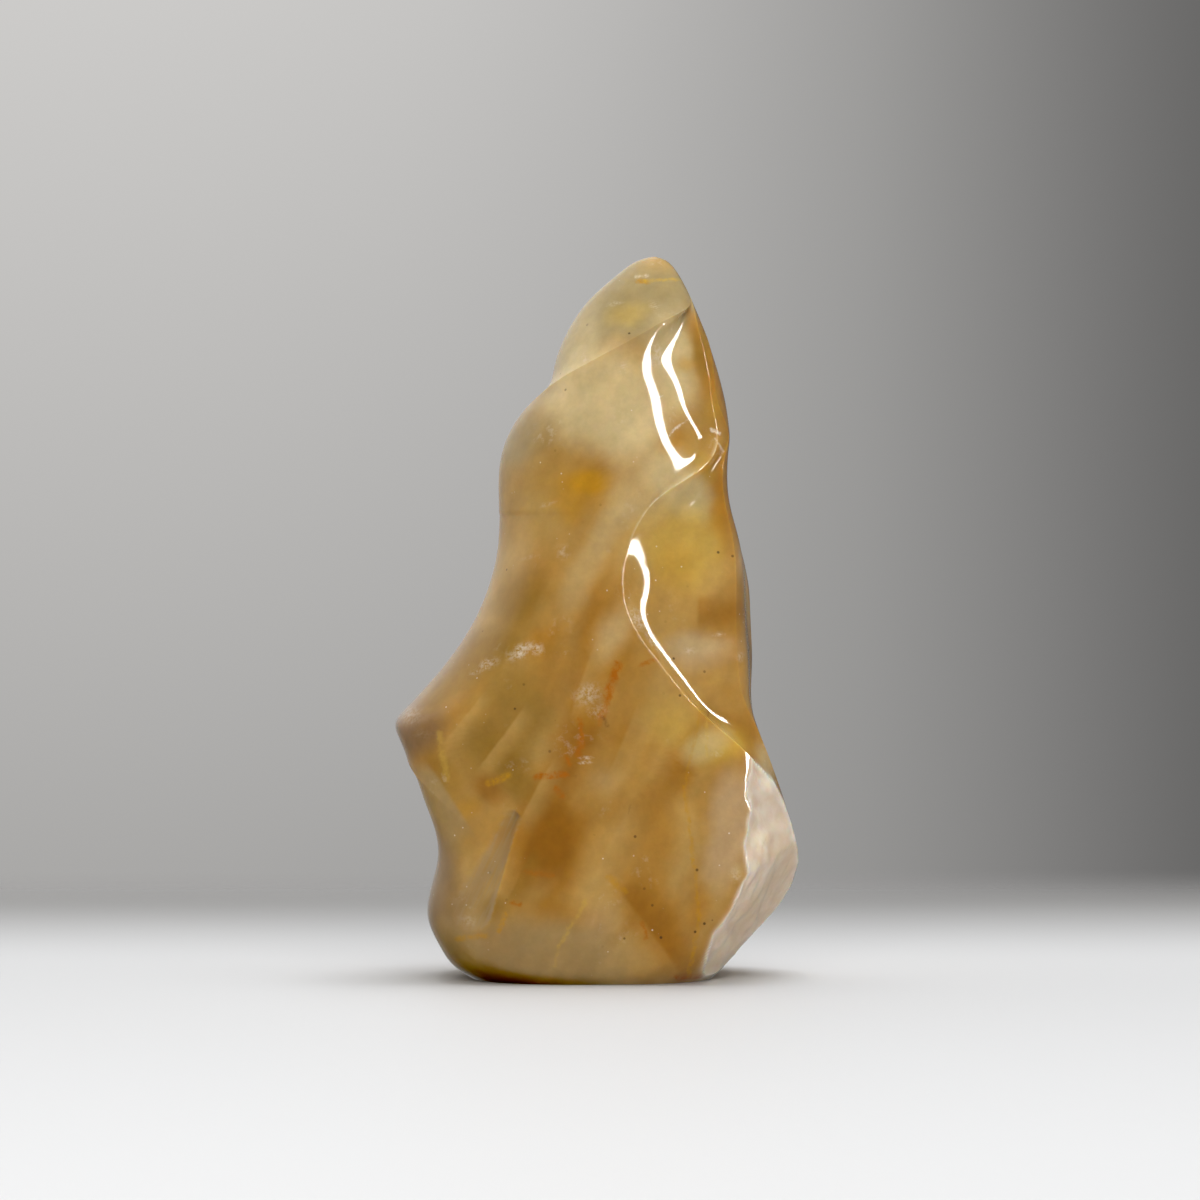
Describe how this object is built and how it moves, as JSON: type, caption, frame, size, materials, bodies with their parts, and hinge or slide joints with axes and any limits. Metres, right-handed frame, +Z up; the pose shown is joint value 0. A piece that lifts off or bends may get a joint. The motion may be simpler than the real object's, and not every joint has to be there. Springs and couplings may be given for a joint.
{
  "type": "carved quartz flame",
  "caption": "Free-standing polished quartz carving in a twisting flame shape, with sharp crests, concave scoops and a flat foot.",
  "frame": {"origin": "middle of the flat foot, on the surface the stone stands on", "axes": "+Z up from the foot to the tip, +X to the right seen from the front, -Y to the front"},
  "size_m": [0.056, 0.0387, 0.1],
  "materials": {
    "golden_quartz": "polished translucent golden quartz with cloudy white zones and iron veins; one unpolished patch low on the right"
  },
  "bodies": {
    "root": {"flame_stone": "golden_quartz"}
  },
  "joints": []
}
